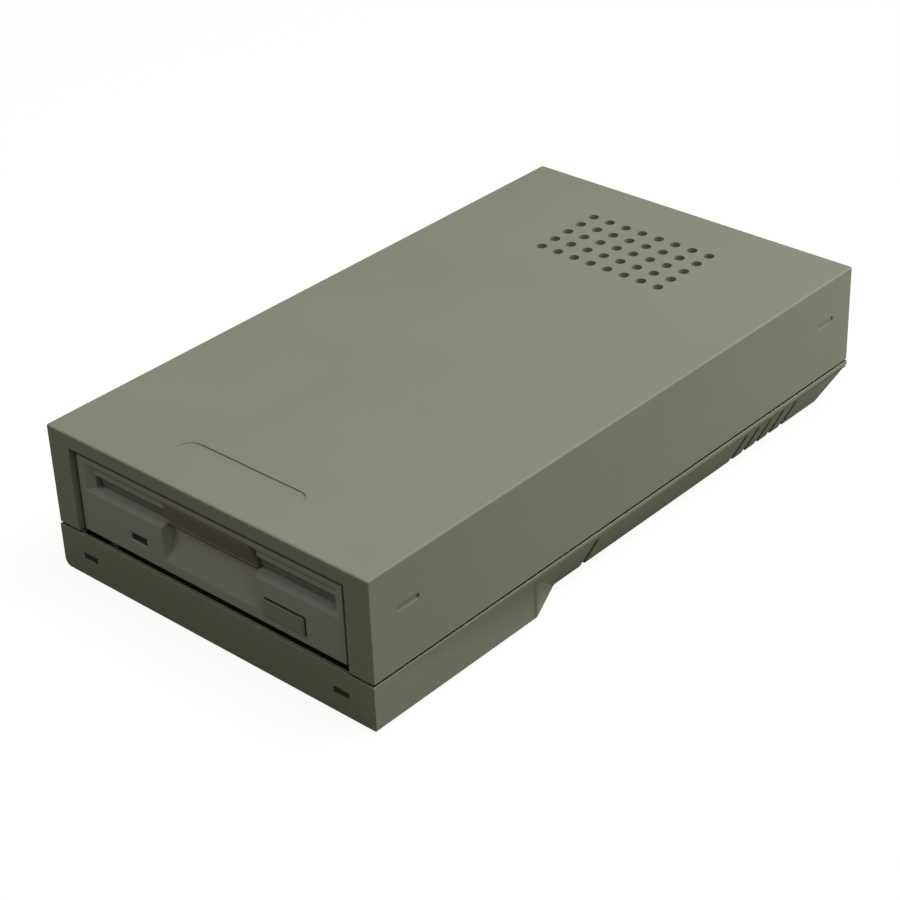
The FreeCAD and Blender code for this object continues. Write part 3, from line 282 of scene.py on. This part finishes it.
def soften(node, rounds, material, name, body="case", finish=None):
    """Stand a piece in for a node: its own form with long sharp edges eased, as a mould leaves them.

    Each of the rounds is (test, millimetres, segments), and the test picks edges by their middle.
    """
    form = welded(node)
    for test, width, segments in rounds:
        edges = []
        for edge in form.edges:
            if len(edge.link_faces) != 2 or edge.calc_length() < shortest_edge * MM:
                continue
            if edge.calc_face_angle_signed(0) < sharp_angle:
                continue
            if test((edge.verts[0].co + edge.verts[1].co) / (2 * MM)):
                edges.append(edge)
        bmesh.ops.bevel(form, geom=edges, offset=width * MM, segments=segments, profile=0.5,
                        affect="EDGES", clamp_overlap=True)
    if finish:
        finish(form)
    mesh = bpy.data.meshes.new(name)
    form.to_mesh(mesh)
    form.free()
    piece = add_piece(name, mesh, material)
    weigh = piece.modifiers.new("weighted_normals", "WEIGHTED_NORMAL")
    weigh.keep_sharp = True
    weigh.weight = 100
    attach(piece, body)
    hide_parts(node)
    return piece


def anywhere(middle):
    """Pick every edge."""
    return True


opening_half = 52.0
opening_high = 41.6
opening_lift = 0.45
opening_deep = 3
height_slack = 0.35
cover_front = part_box("top_cover")[0].y / MM


def lift_opening(form):
    """Raise the opening's upper edge a little, to the height that the photograph shows."""
    for vert in form.verts:
        x, y, z = vert.co / MM
        in_wall = abs(x) < opening_half and y < cover_front + opening_deep
        if in_wall and abs(z - opening_high) < height_slack:
            vert.co.z += opening_lift * MM


case_plastic = moulded_plastic("case_plastic", (0.255, 0.258, 0.195), roughness=0.62, speck=0.5)
cover = soften("top_cover", [(anywhere, 0.2, 2)], case_plastic, "cover_shell", finish=lift_opening)

# Bottom case
# The lower half: full width at the front, drawn in behind with slanted walls and vent slots.
# It is the same plastic from the same press, and its top edge carries a light chamfer.
base_plastic = moulded_plastic("base_plastic", (0.250, 0.252, 0.188), roughness=0.64, mottle=0.06,
                               speck=0.3)
base_low, base_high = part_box("bottom_case")
rim = 15.1
wide = base_high.x / MM - 0.2
post_inner = 51.5
rim_drop = 0.25
rim_depth = 0.4
seam_edge = 0.04
seam_depth = 2.2
slack = 0.05


def on_rim(middle):
    """Say whether an edge is the base's outer top edge, which gets a wider chamfer."""
    outside = abs(middle.x) > wide or middle.y < base_low.y / MM + 0.2
    return abs(middle.z - rim) < slack and outside


def rim_flats(form):
    """Return the level faces at the lowered rim's height."""
    level_faces = [f for f in form.faces if f.normal.z > 0.99]
    return [f for f in level_faces if abs(f.calc_center_median().z / MM - rim + rim_drop) < slack]


def sink_rim(form):
    """Lower the rim a little and sink its flat under the cover's walls, for a deep dark seam."""
    for vert in form.verts:
        if rim - rim_depth < vert.co.z / MM < rim + slack:
            vert.co.z -= rim_drop * MM
    for side in (-post_inner, post_inner):
        flats = rim_flats(form)
        corners = list(dict.fromkeys(v for f in flats for v in f.verts))
        sides = list(dict.fromkeys(e for f in flats for e in f.edges))
        bmesh.ops.bisect_plane(form, geom=corners + sides + flats, plane_co=(side * MM, 0, 0),
                               plane_no=(1, 0, 0))
    under = []
    for flat in rim_flats(form):
        middle = flat.calc_center_median() / MM
        if abs(middle.x) > post_inner or middle.y > 0:
            under.append(flat)
    bmesh.ops.inset_region(form, faces=under, thickness=seam_edge * MM, depth=-seam_depth * MM,
                           use_even_offset=True)


base = soften("bottom_case", [(on_rim, 0.3, 2), (anywhere, 0.2, 2)], base_plastic, "base_shell",
              finish=sink_rim)

# Ready and power lenses
# Two small dark windows of tinted acrylic, pressed in from behind, over the board's lights.


def tinted_acrylic(name, colour):
    """Make a tinted clear plastic: dark, smooth and a little uneven in colour."""
    material, tree, shader = new_material(name, Specular_IOR_Level=0.35)
    depth = add_node(tree, "TexNoise", Scale=900)
    ramp = add_node(tree, "ValToRGB")
    ramp.color_ramp.elements[0].color = (*[c * 0.6 for c in colour], 1)
    ramp.color_ramp.elements[1].color = (*[c * 1.3 for c in colour], 1)
    rough = add_node(tree, "MapRange", To_Min=0.25, To_Max=0.4)
    link(tree, (texture_place(tree, 1.0), depth.inputs["Vector"]),
         (depth.outputs["Fac"], ramp.inputs["Fac"]), (ramp.outputs["Color"], shader.inputs["Base Color"]),
         (depth.outputs["Fac"], rough.inputs["Value"]),
         (rough.outputs["Result"], shader.inputs["Roughness"]))
    return material


def dress(node, material):
    """Give a carried-over piece its material."""
    nodes[node].data.materials.clear()
    nodes[node].data.materials.append(material)


green_lens = tinted_acrylic("green_lens", (0.010, 0.050, 0.065))
amber_lens = tinted_acrylic("amber_lens", (0.040, 0.040, 0.008))
dress("ready_lens", green_lens)
dress("power_lens", amber_lens)
drive_lens = tinted_acrylic("drive_lens", (0.010, 0.008, 0.012))
dress("activity_led", drive_lens)

# Rubber feet
# Four black rubber buttons glued in round seats under the case.
foot_rubber = moulded_plastic("foot_rubber", (0.018, 0.018, 0.018), roughness=0.85, mottle=0.3,
                              grain=0.03)
dress("rubber_feet", foot_rubber)

# Bezel
# The drive's front plate, in a cooler grey than the case. A funnel leads into the slot, and a
# scoop under it lets the thumb push a disk home. Holes pass the flap, the lamp and the button.
front_low, front_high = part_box("drive_bezel")
seam = 15.7
bezel_face = front_low.y
bezel_thick = 5.0
bezel_half = (front_high.x - front_low.x) / 2 / MM
bezel_low = front_low.z / MM - seam
drive_top = front_high.z / MM - seam
bezel_high = 24.5
rib_low = 21.6
rib_thick = 0.6
lip_low = 13.4
lip_thick = 0.5
funnel_outer = (48.0, 13.8, 22.9)
funnel_inner = (45.3, 14.8, 20.7)
funnel_depth = 1.6
slot_high = 19.1
pocket_high = 23.9
pocket_depth = 2.5
brow_hole = (17.2, 13.4, 22.5)
scoop_half = 17.8
scoop_low = 3.5
scoop_depth = 3.6
scoop_side = 1.1
lamp_hole = (-30.9, -24.75, 4.95, 7.2)
lamp_frame = (-31.5, -24.3, 4.5, 7.55)
lamp_frame_depth = 0.3
button_hole = (20.3, 35.5, 2.8, 8.8)
ledge_right = 49.35
ledge_step = 1.4
notch_middles = (-28.0, 29.5)
notch_half = 0.7
notch_low = 14.0
notch_depth = 0.3
edge_round = 0.4
grid_step = 0.4


def ease(t):
    """Turn a share into one that starts and ends softly, between 0 and 1."""
    t = min(max(t, 0.0), 1.0)
    return t * t * (3 - 2 * t)


def inside(x, z, x0, x1, z0, z1):
    """Say whether a point is in a rectangle."""
    return x0 < x < x1 and z0 < z < z1


def face_depth(x, z):
    """Return how far the bezel's face lies behind its front plane, in millimetres."""
    across = (funnel_outer[0] - abs(x)) / (funnel_outer[0] - funnel_inner[0])
    above = (funnel_outer[2] - z) / (funnel_outer[2] - funnel_inner[2])
    below = (z - funnel_outer[1]) / (funnel_inner[1] - funnel_outer[1])
    depth = funnel_depth * min(max(min(across, above, 1.0), 0.0), ease(below))
    rise = (z - scoop_low) / (funnel_inner[1] - scoop_low)
    if 0 < rise <= 1.05 and abs(x) < scoop_half:
        wall = ease((scoop_half - abs(x)) / scoop_side)
        depth = max(depth, wall * scoop_depth * (1 - (1 - min(rise, 1.0)) ** 2))
    if inside(x, z, *lamp_frame):
        depth = max(depth, lamp_frame_depth)
    for notch_x in notch_middles:
        if abs(x - notch_x) < notch_half and notch_low < z < funnel_inner[1] + 0.01:
            depth += notch_depth
    if x > ledge_right + 0.01:
        depth += ledge_step
    gap = bezel_half - abs(x)
    if gap < edge_round:
        depth += edge_round - math.sqrt(max(edge_round ** 2 - (edge_round - gap) ** 2, 0))
    return depth


def hollow(x, z):
    """Say whether a point of the bezel's front is in a through hole."""
    return (inside(x, z, -funnel_inner[0], funnel_inner[0], funnel_inner[1], slot_high)
            or inside(x, z, -brow_hole[0], brow_hole[0], brow_hole[1], brow_hole[2])
            or inside(x, z, *lamp_hole) or inside(x, z, *button_hole))


def back_depth(x, z):
    """Return how deep the bezel's back lies: it is thin at its top rib and at the slot's lower lip."""
    if z > rib_low + 0.01:
        return face_depth(x, z) + rib_thick
    in_slot = abs(x) < funnel_inner[0] + 0.01
    if in_slot and abs(x) > scoop_half and lip_low - 0.01 < z < funnel_inner[1]:
        return funnel_depth + lip_thick
    if in_slot and funnel_inner[1] < z < pocket_high:
        return pocket_depth
    return bezel_thick


def ruled(low, high, step, marks):
    """Return grid lines from low to high about step apart that also pass through the marks."""
    stops = sorted({low, high, *[m for m in marks if low < m < high]})
    lines = []
    for a, b in zip(stops, stops[1:]):
        count = max(1, round((b - a) / step))
        lines += [a + (b - a) * i / count for i in range(count)]
    return lines + [high]


def relief_mesh(name, columns, rows, face, rear, is_hollow, origin_y, up):
    """Build a closed plate whose front is a relief, with through holes, from a grid of cells."""
    points = []
    index = {}

    def corner(i, j, layer):
        if (i, j, layer) not in index:
            x, z = columns[i], rows[j]
            depth = face(x, z) if layer == 0 else rear(x, z)
            index[i, j, layer] = len(points)
            points.append((x * MM, origin_y + depth * MM, (z + up) * MM))
        return index[i, j, layer]

    filled = set()
    for i in range(len(columns) - 1):
        for j in range(len(rows) - 1):
            if not is_hollow((columns[i] + columns[i + 1]) / 2, (rows[j] + rows[j + 1]) / 2):
                filled.add((i, j))
    faces = []
    for i, j in filled:
        ring = [(i, j), (i + 1, j), (i + 1, j + 1), (i, j + 1)]
        faces.append([corner(a, b, 0) for a, b in ring])
        faces.append([corner(a, b, 1) for a, b in reversed(ring)])
        sides = [((i, j - 1), 0, 1), ((i + 1, j), 1, 2), ((i, j + 1), 2, 3), ((i - 1, j), 3, 0)]
        for beside, a, b in sides:
            if beside not in filled:
                p, q = ring[a], ring[b]
                faces.append([corner(*q, 0), corner(*p, 0), corner(*p, 1), corner(*q, 1)])
    mesh = bpy.data.meshes.new(name)
    mesh.from_pydata(points, [], faces)
    mesh.update()
    return mesh


def swept(name, profile, stations, origin_y, up):
    """Build a bar along X from (y, z) points; each station is (x, share), and a share below 1 draws
    the profile back towards the depth of its last but one point."""
    points = []
    anchor = profile[-2]
    for x, share in stations:
        for y, z in profile:
            cut_y = anchor[0] + (y - anchor[0]) * share
            points.append((x * MM, (origin_y + cut_y) * MM, (z + up) * MM))
    count = len(profile)
    faces = []
    for s in range(len(stations) - 1):
        for k in range(count):
            a, b = s * count + k, s * count + (k + 1) % count
            faces.append([a, b, b + count, a + count])
    faces.append(list(range(count)))
    last = (len(stations) - 1) * count
    faces.append([last + k for k in reversed(range(count))])
    mesh = bpy.data.meshes.new(name)
    mesh.from_pydata(points, [], faces)
    form = bmesh.new()
    form.from_mesh(mesh)
    bmesh.ops.recalc_face_normals(form, faces=form.faces)
    form.to_mesh(mesh)
    form.free()
    return mesh


notch_marks = [-28.7, -27.3, 28.8, 30.2]
column_marks = [0, ledge_right, ledge_right + 0.03, lamp_hole[0], lamp_hole[1], lamp_frame[0], lamp_frame[1],
                button_hole[0], button_hole[1]] + notch_marks
for mark in (funnel_outer[0], funnel_inner[0], brow_hole[0], scoop_half, scoop_half - scoop_side,
             bezel_half - 0.1, bezel_half - 0.3, bezel_half - edge_round):
    column_marks += [-mark, mark]
row_marks = [scoop_low, lamp_hole[2], lamp_hole[3], lamp_frame[2], lamp_frame[3], button_hole[2],
             button_hole[3], funnel_outer[1], notch_low, brow_hole[1], funnel_inner[1], slot_high,
             funnel_inner[2], funnel_outer[2], brow_hole[2], rib_low, rib_low + 0.03, lip_low - 0.02]
columns = ruled(-bezel_half, bezel_half, grid_step, column_marks)
rows = ruled(bezel_low, bezel_high, grid_step, row_marks)
bezel_mesh = relief_mesh("bezel", columns, rows, face_depth, back_depth, hollow, bezel_face, seam)
bezel_plastic = moulded_plastic("bezel_plastic", (0.325, 0.322, 0.288), roughness=0.55)
bezel = add_piece("drive_front_plate", bezel_mesh, bezel_plastic, smooth_angle=50)
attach(bezel, "case")
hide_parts("drive_bezel")
bar_depth = 2.4
bar_profile = [(bar_depth, pocket_high), (bar_depth, drive_top), (bezel_thick, drive_top),
               (bezel_thick, pocket_high)]
bar_mesh = swept("bezel_rear_bar", bar_profile, [(-bezel_half, 1.0), (bezel_half, 1.0)],
                 bezel_face / MM, seam)
rear_bar = add_piece("bezel_rear_bar", bar_mesh, bezel_plastic)
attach(rear_bar, "case")
window_profile = [(0.55, 7.15), (0.45, 7.0), (0.45, 5.1), (0.55, 5.0), (1.4, 5.0), (1.4, 7.15)]
window_gap = 0.05
window_mesh = swept("activity_window", window_profile,
                    [(lamp_hole[0] + window_gap, 1.0), (lamp_hole[1] - window_gap, 1.0)],
                    bezel_face / MM, seam)
window = add_piece("activity_window", window_mesh, drive_lens)
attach(window, "case")

# Dust flap
# A sprung door behind the funnel. Its middle stands forward as a brow that meets the bezel's
# face at the top and draws back below, with a thin lip along its lower edge. Its plastic has aged.
brow_profile = [(0.35, 22.3), (0.12, 22.1), (0.12, 21.7), (2.02, 15.9), (2.02, 15.55), (1.72, 15.35),
                (1.72, 15.0), (2.15, 14.25), (2.5, 14.0), (4.2, 14.0), (4.2, 22.3)]
brow_half = 16.9
brow_taper = 0.7
end_share = 0.82
flap_plastic = moulded_plastic("flap_plastic", (0.155, 0.143, 0.108), roughness=0.55, mottle=0.06)
brow_stations = [(-brow_half, end_share), (-brow_half + brow_taper, 1.0), (0, 1.0),
                 (brow_half - brow_taper, 1.0), (brow_half, end_share)]
brow_mesh = swept("flap_brow", brow_profile, brow_stations, bezel_face / MM, seam)
brow = add_piece("flap_brow", brow_mesh, flap_plastic)
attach(brow, "flap")
wing_profile = [(2.6, 20.3), (2.6, 18.9), (3.1, 15.3), (3.3, 15.1), (3.7, 15.1), (3.8, 15.4), (3.4, 20.3)]
wing_half = 44.6
wing_mesh = swept("flap_wing", wing_profile, [(-wing_half, 1.0), (wing_half, 1.0)], bezel_face / MM, seam)
wing_plastic = moulded_plastic("wing_plastic", (0.17, 0.165, 0.14))
wing = add_piece("flap_wing", wing_mesh, wing_plastic)
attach(wing, "flap")


def tube(name, radius, start, end, sides=32):
    """Build a capped round bar between two points, in millimetres."""
    a, b = Vector(start) * MM, Vector(end) * MM
    form = bmesh.new()
    bmesh.ops.create_cone(form, cap_ends=True, segments=sides, radius1=radius * MM, radius2=radius * MM,
                          depth=(b - a).length)
    turn = (b - a).to_track_quat("Z", "Y").to_matrix().to_4x4()
    form.transform(Matrix.Translation((a + b) / 2) @ turn)
    mesh = bpy.data.meshes.new(name)
    form.to_mesh(mesh)
    form.free()
    return mesh


pin_half = 45.2
pin_y = bezel_face / MM + 3.8
pin_z = seam + 22.3
pin_mesh = tube("flap_pin", 0.7, (-pin_half, pin_y, pin_z), (pin_half, pin_y, pin_z))
flap_pin = add_piece("flap_pin", pin_mesh, flap_plastic)
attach(flap_pin, "flap")
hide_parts("dust_flap")

# Eject button
# A moulded key on the end of the slide, with rounded front edges and a faintly hollowed face.
button_plastic = moulded_plastic("button_plastic", (0.252, 0.252, 0.214), roughness=0.5, mottle=0.04,
                                 grain=0.012)
key_left = 20.9
key_right = 34.7
key_high = seam + 8.0
key_cuts = (0.15, 0.3)
plate_back = 0.25
plate_trim = (0.55, 0.15, 0.3)
stem_trim = (1.0, 1.0, 1.2)
key_proud_share = 0.55


def relieve_key(form):
    """Trim the key's front plate at its left, right and top, and its stem more; then draw it back."""
    for cut in key_cuts:
        parts = form.verts[:] + form.edges[:] + form.faces[:]
        bmesh.ops.bisect_plane(form, geom=parts, plane_co=(0, bezel_face + cut * MM, 0), plane_no=(0, 1, 0))
    for vert in form.verts:
        left, right, high = stem_trim if vert.co.y > bezel_face + plate_back * MM else plate_trim
        if vert.co.x < key_left * MM:
            vert.co.x += left * MM
        if vert.co.x > key_right * MM:
            vert.co.x -= right * MM
        if vert.co.z > key_high * MM:
            vert.co.z -= high * MM
        if vert.co.y < bezel_face:
            vert.co.y = bezel_face + (vert.co.y - bezel_face) * key_proud_share


button = soften("eject_button", [(anywhere, 0.12, 2)], button_plastic, "eject_key", body="slide",
                finish=relieve_key)

# Steel sheets, screws and springs
# Zinc-plated sheet and fasteners, with the fine brushing and dull patches that plating has.


def metal_group():
    """Build the surface of worked metal: fine lines along it, and patches of duller plating."""
    group = bpy.data.node_groups.new("worked_metal", "ShaderNodeTree")
    group_socket(group, "Colour", "NodeSocketColor", "INPUT", (0.7, 0.7, 0.7, 1))
    group_socket(group, "Roughness", "NodeSocketFloat", "INPUT", 0.35)
    group_socket(group, "Colour", "NodeSocketColor", "OUTPUT")
    group_socket(group, "Roughness", "NodeSocketFloat", "OUTPUT")
    group_socket(group, "Height", "NodeSocketFloat", "OUTPUT")
    given = group.nodes.new("NodeGroupInput")
    out = group.nodes.new("NodeGroupOutput")
    where = add_node(group, "TexCoord")
    stretch = add_node(group, "Mapping", Scale=(2600, 130, 2600))
    lines = add_node(group, "TexNoise", Scale=1.0)
    patch = add_node(group, "TexNoise", Scale=120, Detail=3)
    dull = add_node(group, "MapRange", To_Min=-0.12, To_Max=0.12)
    total = add_node(group, "Math", "ADD")
    value = add_node(group, "MapRange", To_Min=0.85, To_Max=1.1)
    tint = add_node(group, "HueSaturation")
    link(group, (where.outputs["Object"], stretch.inputs["Vector"]),
         (stretch.outputs[0], lines.inputs["Vector"]), (where.outputs["Object"], patch.inputs["Vector"]),
         (patch.outputs["Fac"], dull.inputs["Value"]), (dull.outputs["Result"], total.inputs[0]),
         (given.outputs["Roughness"], total.inputs[1]), (total.outputs[0], out.inputs["Roughness"]),
         (patch.outputs["Fac"], value.inputs["Value"]), (value.outputs["Result"], tint.inputs["Value"]),
         (given.outputs["Colour"], tint.inputs["Color"]), (tint.outputs["Color"], out.inputs["Colour"]),
         (lines.outputs["Fac"], out.inputs["Height"]))
    return group


worked_metal = metal_group()


def metal(name, colour, roughness, brushing=0.004):
    """Make a metal; brushing is the height of its lines in millimetres."""
    material, tree, shader = new_material(name, Metallic=1.0)
    surface = tree.nodes.new("ShaderNodeGroup")
    surface.node_tree = worked_metal
    set_inputs(surface, Colour=(*colour, 1), Roughness=roughness)
    bump = add_node(tree, "Bump", Distance=brushing * MM)
    link(tree, (surface.outputs["Colour"], shader.inputs["Base Color"]),
         (surface.outputs["Roughness"], shader.inputs["Roughness"]),
         (surface.outputs["Height"], bump.inputs["Height"]),
         (bump.outputs[0], shader.inputs["Normal"]))
    return material


zinc_steel = metal("zinc_steel", (0.62, 0.62, 0.60), 0.38)
bright_steel = metal("bright_steel", (0.68, 0.68, 0.68), 0.22)
for node in ("case_screws", "drive_screws", "board_screws", "top_plate_screws", "rear_panel",
             "drive_top_plate", "slide_plate", "disk_carrier", "jackscrews", "jack_nut", "stepper_motor",
             "spindle_rotor"):
    dress(node, zinc_steel)
for node in ("slide_spring", "flap_spring", "arm_spring", "lead_screw", "guide_rod", "spindle_hub"):
    dress(node, bright_steel)

# Drive frame
# A die-cast tray with side walls and a deck half way up; it carries every part of the mechanism.
cast_frame = metal("cast_frame", (0.52, 0.52, 0.51), 0.55, brushing=0.01)
dress("drive_chassis", cast_frame)

# Circuit boards
# Green solder mask over copper tracks, which show as slightly lighter lines.


def board_finish(name, colour):
    """Make a circuit board's solder mask, with the tracks under it in a lighter colour."""
    material, tree, shader = new_material(name, Coat_Weight=0.3)
    tracks = add_node(tree, "TexBrick", Scale=320, Mortar_Size=0.035, Color1=(*colour, 1),
                      Color2=(*[c * 0.85 for c in colour], 1),
                      Mortar=(*[min(c * 1.9 + 0.01, 1) for c in colour], 1))
    bump = add_node(tree, "Bump", Distance=0.03 * MM)
    rough = add_node(tree, "MapRange", To_Min=0.35, To_Max=0.5)
    link(tree, (texture_place(tree, 1.0), tracks.inputs["Vector"]),
         (tracks.outputs["Color"], shader.inputs["Base Color"]),
         (tracks.outputs["Fac"], bump.inputs["Height"]),
         (tracks.outputs["Fac"], rough.inputs["Value"]),
         (rough.outputs["Result"], shader.inputs["Roughness"]),
         (bump.outputs[0], shader.inputs["Normal"]))
    return material


board_green = board_finish("board_green", (0.02, 0.10, 0.035))
for node in ("main_board", "drive_board", "motor_board"):
    dress(node, board_green)

# Chips, cans and headers
# Black epoxy packages, aluminium cans and moulded headers, soldered on the boards.
chip_epoxy = moulded_plastic("chip_epoxy", (0.022, 0.022, 0.024), roughness=0.5, mottle=0.3, grain=0.01)
header_black = moulded_plastic("header_black", (0.03, 0.03, 0.033), roughness=0.45, mottle=0.2, grain=0.005)
nylon_white = moulded_plastic("nylon_white", (0.55, 0.54, 0.49), roughness=0.45, mottle=0.05, grain=0.008)
can_metal = metal("can_metal", (0.66, 0.66, 0.67), 0.3)
for node in ("controller_chip", "logic_chips", "voltage_regulator"):
    dress(node, chip_epoxy)
for node in ("drive_header", "ribbon_plugs", "drive_connectors", "head_carriage", "upper_arm"):
    dress(node, header_black)
for node in ("power_header", "front_leds", "shutter_lever", "lower_head", "upper_head"):
    dress(node, nylon_white)
for node in ("crystal", "capacitors"):
    dress(node, can_metal)

# Motor windings and bearing
# Enamelled copper coils stand in a ring under the rotor, round a sintered bronze sleeve.
dress("stator_coils", metal("coil_copper", (0.50, 0.20, 0.09), 0.35, brushing=0.02))
dress("spindle_bearing", metal("bearing_bronze", (0.48, 0.34, 0.17), 0.5))

# Rear ports and power inlet
# Two 25-way sockets in plated shells with black faces, and a round inlet held by a nut.
dress("port_pins", metal("contact_gold", (0.83, 0.62, 0.25), 0.25))
dress("power_jack", moulded_plastic("jack_black", (0.02, 0.02, 0.02), roughness=0.35, mottle=0.1,
                                    grain=0.004))
dress("computer_port", zinc_steel)
dress("printer_port", zinc_steel)

# Inner leads
# Flat grey ribbon cable and thin red leads, held all the way inside the case.
ribbon_grey = moulded_plastic("ribbon_grey", (0.36, 0.36, 0.37), roughness=0.5, mottle=0.06, grain=0.03)
lead_red = moulded_plastic("lead_red", (0.32, 0.02, 0.015), roughness=0.4, mottle=0.1, grain=0.01)
dress("ribbon_cable", ribbon_grey)
dress("jack_leads", lead_red)
dress("drive_power_lead", lead_red)
